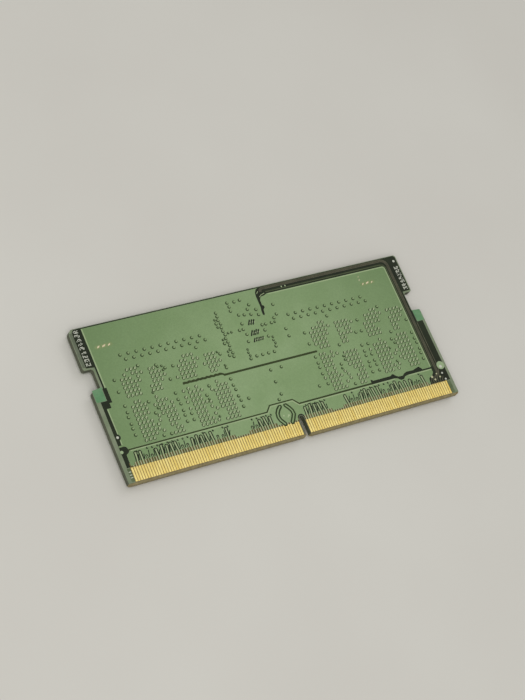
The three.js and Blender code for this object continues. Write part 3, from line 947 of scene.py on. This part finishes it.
def front_outline():
    """The front pour: the whole face, short of the edges, the notches and the contacts."""
    slot = arc(SLOT_X, SLOT_END_Y, 0.95, 180, 0)
    return [
        (-34.1, 3.7), (SLOT_X - 0.95, 3.7), *slot[1:-1], (SLOT_X + 0.95, 3.7), (34.1, 3.7), (34.1, 15.7),
        (32.5, 15.7), (32.5, 22.35), (34.1, 22.35), (34.1, 29.5), (-34.1, 29.5), (-34.1, 22.35),
        (-32.5, 22.35), (-32.5, 15.7), (-34.1, 15.7),
    ]


def front_tracks():
    """Fans of tracks from the contacts to the packages."""
    tracks = []
    for bank in (LEFT_BANK, RIGHT_BANK):
        for i, x in enumerate(bank[2:-2]):
            if abs(x - SLOT_X) < 1.4:
                continue
            chip = min(DRAM_X, key=lambda centre: abs(centre - x))
            inward = max(-0.5, min(0.5, (chip - x) * 0.12))
            length = 5.1 if i % 2 else 4.5
            tracks.append([(x, CONTACT_TOP), (x, 3.75), (x + inward, length - 0.35), (x + inward, length)])
    return tracks


def bus_tracks():
    """Long parallel tracks past the packages."""
    tracks = []
    for i in range(5):
        y = 21.05 + 0.26 * i
        tracks.append([(-29.5 + 0.3 * i, y), (-9.0 - 0.3 * i, y)])
        tracks.append([(9.6 + 0.3 * i, y), (30.2 - 0.3 * i, y)])
    for i in range(6):
        y = 8.2 + 0.32 * i
        raised = [(-5.2 + 0.1 * i, y + 1.0), (5.6 - 0.1 * i, y + 1.0)]
        tracks.append([(-8.4, y), (-6.2, y), *raised, (6.6, y), (8.8, y)])
    for x in (-19.5, 19.9):
        for i in range(4):
            offset = 0.24 * (i - 1.5)
            tracks.append([(x + offset, 6.8), (x + offset, 20.2)])
    return tracks


def front_vias(draw):
    found = []
    for x in range(-30, 31, 2):
        for y in (4.4, 22.9, 26.3, 28.8):
            found.append((x + draw.uniform(-0.4, 0.4), y + draw.uniform(-0.2, 0.2)))
    for centre in DRAM_X:
        found += [(centre - 5.35, 7.4 + 1.6 * i) for i in range(8)]
    return found + [(-8.1 + 0.1 * (i % 2), 9.1 + 2.0 * i) for i in range(6)]


def build_front_copper():
    level = FRONT_COPPER_Z
    plate("front_copper", [placed(front_outline())], level, FRONT_Z, GREEN, PALE_GREEN_AND_EDGE_HIGHLIGHT, facing=-1)
    fans = strips(front_tracks(), 0.14)
    plate("front_fan_tracks", fans, level - 0.008, FRONT_CORE_Z, LAND, PALE_GREEN_AND_EDGE_HIGHLIGHT, rim=0.01, facing=-1)
    buses = strips(bus_tracks(), 0.12)
    plate("front_bus_tracks", buses, level - 0.01, level + 0.004, PALE_GREEN_AND_EDGE_HIGHLIGHT, SHADE_GREEN, rim=0.004,
          facing=-1)
    surface_vias("front_vias", front_vias(random.Random(11)), level, up=-1, ring=0.26, land=0.15)


def build_fiducials():
    """Round alignment marks near the corners of the parts' side, each in a dark ring."""
    spots = [(-33.2, 12.6), (33.2, 12.6), (-33.4, 25.8), (33.4, 25.8)]
    base, top = FRONT_COPPER_Z + 0.01, FRONT_COPPER_Z
    studs("front_fiducial_rings", [(x, y, 0.75) for x, y in spots], base, top - 0.002, SHADE_GREEN, sides=24)
    studs("front_fiducials", [(x, y, 0.5) for x, y in spots], base, top - 0.006, TIN, 24)


# ---- front face: packages and larger parts ----

SUBSTRATE_BALL = 0.24
SUBSTRATE_DEPTH = 0.25
LAND_PITCH = 0.4
LAND_WIDTH = 0.2
LAND_REACH = 0.18


def build_cap(name, inset, radius, floor_radius, depth, chamfer, sides):
    """A moulded cap with softened edges and a round pin-1 dimple near one corner."""
    low, high = node_box(name + "_mould")
    x, y = low.x + inset, low.y + inset
    edge = rectangle(low.x, low.y, high.x, high.y)
    shell = loops_mesh(name, [edge, circle(x, y, radius, sides)], low.z, high.z - 0.01, chamfer)
    floor = (x - MIDDLE_X, y - EDGE_Y, floor_radius)
    plug = disc_mesh(name, [floor], high.z - 0.02, low.z + depth, sides)
    bm = bmesh.new()
    bm.from_mesh(shell)
    bm.from_mesh(plug)
    mesh = bpy.data.meshes.new(name + "_cap")
    bm.to_mesh(mesh)
    bm.free()
    new_piece(name + "_cap", mesh, [MOULD], (name + "_mould",))
    return low, high


def build_package(name):
    """A memory package: a moulded cap, its substrate and its solder balls."""
    low, high = build_cap(name, 0.9, 0.4, 0.42, 0.06, 0.05, 24)
    base_low, base_high = node_box(name + "_substrate")
    under = high.z + SUBSTRATE_DEPTH
    bm = bmesh.new()
    add_box(bm, (base_low.x, base_low.y, high.z - 0.01), (base_high.x, base_high.y, under), 0.015)
    base = finish_mesh(name + "_base", bm)
    new_piece(name + "_base", base, [SUBSTRATE], (name + "_substrate",))

    bm = bmesh.new()
    middle = (low + high) / 2
    middle.z = (under - 0.02 + FRONT_Z) / 2
    half_height = (FRONT_Z - under + 0.02) / 2
    size = Matrix.Diagonal((SUBSTRATE_BALL * MM, SUBSTRATE_BALL * MM, half_height * MM, 1.0))
    for row in range(-8, 9):
        for step in (-4, -3, -2, 2, 3, 4):
            spot = middle + Vector((step * VIA_PITCH, row * VIA_PITCH, 0))
            matrix = Matrix.Translation(spot * MM) @ size
            bmesh.ops.create_uvsphere(bm, u_segments=8, v_segments=5, radius=1.0, matrix=matrix)
    balls = finish_mesh(name + "_balls", bm, smooth=True)
    new_piece(name + "_balls", balls, [TIN])


def build_leadless(name):
    """A leadless package: a chamfered cap over a carrier with a row of lands along each side."""
    low, high = build_cap(name, 0.45, 0.18, 0.19, 0.04, 0.03, 18)
    bm = bmesh.new()
    for side, corner in ((-1, low), (1, high)):
        for axis in (0, 1):
            edge = corner[1 - axis]
            near, far = sorted((edge, edge + side * LAND_REACH))
            count = int((high[axis] - low[axis] - 0.6) / LAND_PITCH) + 1
            for i in range(count):
                start = low[axis] + 0.3 + LAND_PITCH * i
                first, last = (start, near), (start + LAND_WIDTH, far)
                if axis:
                    first, last = first[::-1], last[::-1]
                add_box(bm, (*first, high.z + 0.02), (*last, FRONT_Z), 0.01)
    new_piece(name + "_lands", finish_mesh(name + "_lands", bm), [TIN])


def build_chunky(name, body_material, body_slot, body_bevel):
    """A larger two-ended part: softened body and ends in place of the plain blocks."""
    looks = {"body": (body_material, body_slot, body_bevel)}
    for part in ("body", "end_a", "end_b"):
        material, slot, bevel = looks.get(part, (TIN, "tinned_terminal", 0.05))
        node = f"{name}_{part}"
        bm = bmesh.new()
        add_box(bm, *node_box(node), bevel)
        new_piece(node + "_soft", finish_mesh(node + "_soft", bm), [material], (node,))


# ---- front face: small chip parts ----

# Length, width, height and length of the wrapped ends.
SIZES = {"0402": (1.0, 0.5, 0.5, 0.22), "0201": (0.6, 0.3, 0.26, 0.14)}


def small_parts():
    """Where the small chip parts stand: centre, turned along y or not, size and kind."""
    parts = []
    for centre in DRAM_X:
        parts += [(centre - 4 + 2 * i, 25.0, False, "0402", "capacitor") for i in range(5)]
        parts += [(centre - 3.75 + 1.5 * i, 5.6, True, "0201", "resistor") for i in range(6)]
    for i in range(7):
        parts += [(x, 8.2 + 1.9 * i, False, "0402", "capacitor") for x in (-7.45, 7.75)]
    for i in range(5):
        parts.append((-2.2 + 1.1 * i, 25.3, True, "0402", "capacitor"))
        parts.append((-2.6 + 1.3 * i, 18.8, True, "0402", "capacitor" if i % 2 else "resistor"))
    for i in range(3):
        parts.append((1.9, 15.6 + 1.0 * i, False, "0201", "resistor"))
        parts.append((7.3 - 0.9 * i, 14.2, True, "0201", "capacitor"))
    for x in (-31.9, 31.9):
        parts += [(x, 8.0 + 2.2 * i, True, "0402", "capacitor") for i in range(3)]
    for i in range(6):
        parts += [(x + 1.4 * i, 27.4, True, "0201", "resistor") for x in (-30.0, 22.0)]
    return parts


def on_part(part, along, across):
    """A point given by its distances along and across a chip part from the part's centre."""
    x, y, upright = part[:3]
    return place(x + across, y + along) if upright else place(x + along, y + across)


def add_fillet(bm, part, toe, heel, half_width, height):
    """The wedge of solder between the end of a chip part and its land."""
    profile = [(heel, FRONT_COPPER_Z), (toe, FRONT_COPPER_Z), (heel, FRONT_COPPER_Z - height)]
    rows = []
    for across in (-half_width, half_width):
        spots = [Vector((*on_part(part, along, across), z)) * MM for along, z in profile]
        rows.append([bm.verts.new(spot) for spot in spots])
    bm.faces.new(rows[0])
    bm.faces.new(rows[1][::-1])
    for i in range(3):
        j = (i + 1) % 3
        bm.faces.new([rows[0][i], rows[0][j], rows[1][j], rows[1][i]])


def add_chip_part(body, ends, part):
    """One chip part hanging from the pour: a body, two wrapped ends and a solder fillet at each end."""
    length, width, height, end = SIZES[part[3]]
    if part[4] == "resistor":
        height *= 0.7
    half = length / 2
    level = FRONT_COPPER_Z
    bottom = level - height

    def box(bm, first, last, across, low, high, bevel):
        corners = (*on_part(part, first, -across), low), (*on_part(part, last, across), high)
        add_box(bm, *corners, bevel)

    box(body, -half + end * 0.8, half - end * 0.8, width / 2 - 0.015, bottom + 0.015, level - 0.015, 0.012)
    for side in (-1, 1):
        inner, outer = sorted((side * (half - end), side * half))
        box(ends, inner, outer, width / 2, bottom, level, 0.03)
        toe, heel = side * (half + height * 0.35), side * (half - 0.02)
        add_fillet(ends, part, toe, heel, width / 2 - 0.03, height * 0.6)


def build_small_parts():
    bodies = {"capacitor": bmesh.new(), "resistor": bmesh.new()}
    ends = bmesh.new()
    lands = []
    for part in small_parts():
        add_chip_part(bodies[part[4]], ends, part)
        length, width = SIZES[part[3]][:2]
        reach = width / 2 + 0.06
        for along in (-length / 2, length / 2):
            corner = on_part(part, along - 0.24, -reach)
            lands.append(rectangle(*corner, *on_part(part, along + 0.24, reach)))
    film("front_part_lands", lands, FRONT_COPPER_Z - 0.006, FRONT_Z, TIN, 0.002, facing=-1)
    for kind, material, slot in (("capacitor", CERAMIC, "capacitor_ceramic"),
                                 ("resistor", RESISTOR, "mould_compound")):
        name = f"small_{kind}_bodies"
        new_piece(name, finish_mesh(name, bodies[kind]), [material])
    new_piece("small_part_ends", finish_mesh("small_part_ends", ends), [TIN])


def build_front_legend():
    """Outline corners round the larger parts."""
    marks = []
    gap, arm, line = 0.3, 0.9, 0.1
    for name in [f"dram_{i}" for i in range(1, 5)] + ["power_controller", "configuration_hub"]:
        low, high = node_box(name + "_mould")
        for sx, x in ((-1, low.x - gap), (1, high.x + gap)):
            for sy, y in ((-1, low.y - gap), (1, high.y + gap)):
                inner = [(x, y), (x - sx * arm, y), (x - sx * arm, y + sy * line)]
                outer = [(x + sx * line, y + sy * line), (x + sx * line, y - sy * arm), (x, y - sy * arm)]
                marks.append(inner + outer)
    low, high = FRONT_COPPER_Z - 0.012, FRONT_COPPER_Z + 0.002
    film("front_legend", marks, low, high, INK, 0.002, facing=-1)


def build_front_face():
    build_front_copper()
    build_fiducials()
    for i in range(1, 5):
        build_package(f"dram_{i}")
    for name in ("power_controller", "configuration_hub"):
        build_leadless(name)
    for i in range(1, 4):
        build_chunky(f"inductor_{i}", FERRITE, "ferrite", 0.08)
    for i in range(1, 9):
        build_chunky(f"bulk_capacitor_{i}", CERAMIC, "capacitor_ceramic", 0.04)
    build_small_parts()
    build_front_legend()


build_front_face()

# ---- carried-over nodes ----

FINISHES = (
    ("board_laminate", LAMINATE), ("back_mask", EDGE_MASK), ("front_mask", EDGE_MASK), ("contacts_", GOLD),
    ("_mould", MOULD), ("_substrate", SUBSTRATE), ("_carrier", SUBSTRATE), ("_end_a", TIN),
    ("_end_b", TIN), ("inductor", FERRITE), ("bulk", CERAMIC),
)


def finish_of(name):
    """The finished material of a CAD node: the first entry whose text its name contains."""
    return next((material for text, material in FINISHES if text in name), None)


for name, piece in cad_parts.items():
    for slot in piece.material_slots:
        slot.material = finish_of(name) or slot.material

# ---- floor, lights and camera ----

FLOOR_REACH = 3.0

# The view meets the back face a little above its middle, from low on the left of the contact edge.
VIEW_TARGET = Vector((MIDDLE_X - 0.42, EDGE_Y + 17.79, BACK_Z)) * MM
VIEW_DISTANCE = 0.3318
VIEW_AZIMUTH = math.radians(-58.8)
VIEW_ELEVATION = math.radians(55.84)
VIEW_ROLL = math.radians(39.7)
VIEW_LENS = 94.47


def build_stage():
    """A plain table top, faintly clouded."""
    corners = [(x * FLOOR_REACH, y * FLOOR_REACH, 0) for x, y in ((-1, -1), (1, -1), (1, 1), (-1, 1))]
    mesh = bpy.data.meshes.new("floor")
    mesh.from_pydata(corners, [], [(0, 1, 2, 3)])
    floor = bpy.data.objects.new("floor", mesh)
    bpy.context.scene.collection.objects.link(floor)
    s = Shader("floor_paint")
    cloud = s.ramp(s.noise(60.0), 0.3, 0.7)
    s.base(s.mix(cloud, linear((203, 200, 192)), linear((208, 206, 198))))
    s.surface(0.45)
    s.bump(s.noise(1.2), 0.01)
    mesh.materials.append(s.material)


def area_light(name, position, size, watts):
    """A square lamp that faces the origin; its position and size are in metres."""
    data = bpy.data.lights.new(name, "AREA")
    data.shape = "SQUARE"
    data.size = size
    data.energy = watts
    lamp = bpy.data.objects.new(name, data)
    lamp.location = position
    lamp.rotation_mode = "QUATERNION"
    lamp.rotation_quaternion = (-Vector(position)).to_track_quat("-Z", "Y")
    bpy.context.scene.collection.objects.link(lamp)


def build_lights():
    world = bpy.data.worlds.new("studio")
    world.use_nodes = True
    sky = world.node_tree.nodes["Background"].inputs
    sky["Color"].default_value = (1.0, 0.995, 0.98, 1.0)
    sky["Strength"].default_value = 0.38
    bpy.context.scene.world = world
    bpy.context.scene.view_settings.view_transform = "Standard"
    area_light("window", (-0.5, -0.35, 1.0), 0.8, 8.8)
    area_light("ceiling", (0.5, 0.3, 0.9), 0.6, 0.9)


def build_camera():
    data = bpy.data.cameras.new("camera")
    data.lens = VIEW_LENS
    data.sensor_width = 36.0
    data.sensor_fit = "AUTO"
    data.clip_start = 0.01
    camera = bpy.data.objects.new("camera", data)
    bpy.context.scene.collection.objects.link(camera)
    level = math.cos(VIEW_ELEVATION)
    back = Vector((
        math.sin(VIEW_AZIMUTH) * level,
        -math.cos(VIEW_AZIMUTH) * level,
        math.sin(VIEW_ELEVATION),
    ))
    upright = (-back).to_track_quat("-Z", "Y").to_matrix().to_4x4()
    rolled = upright @ Matrix.Rotation(VIEW_ROLL, 4, "Z")
    camera.matrix_world = Matrix.Translation(VIEW_TARGET + back * VIEW_DISTANCE) @ rolled
    bpy.context.scene.camera = camera


build_stage()
build_lights()
build_camera()
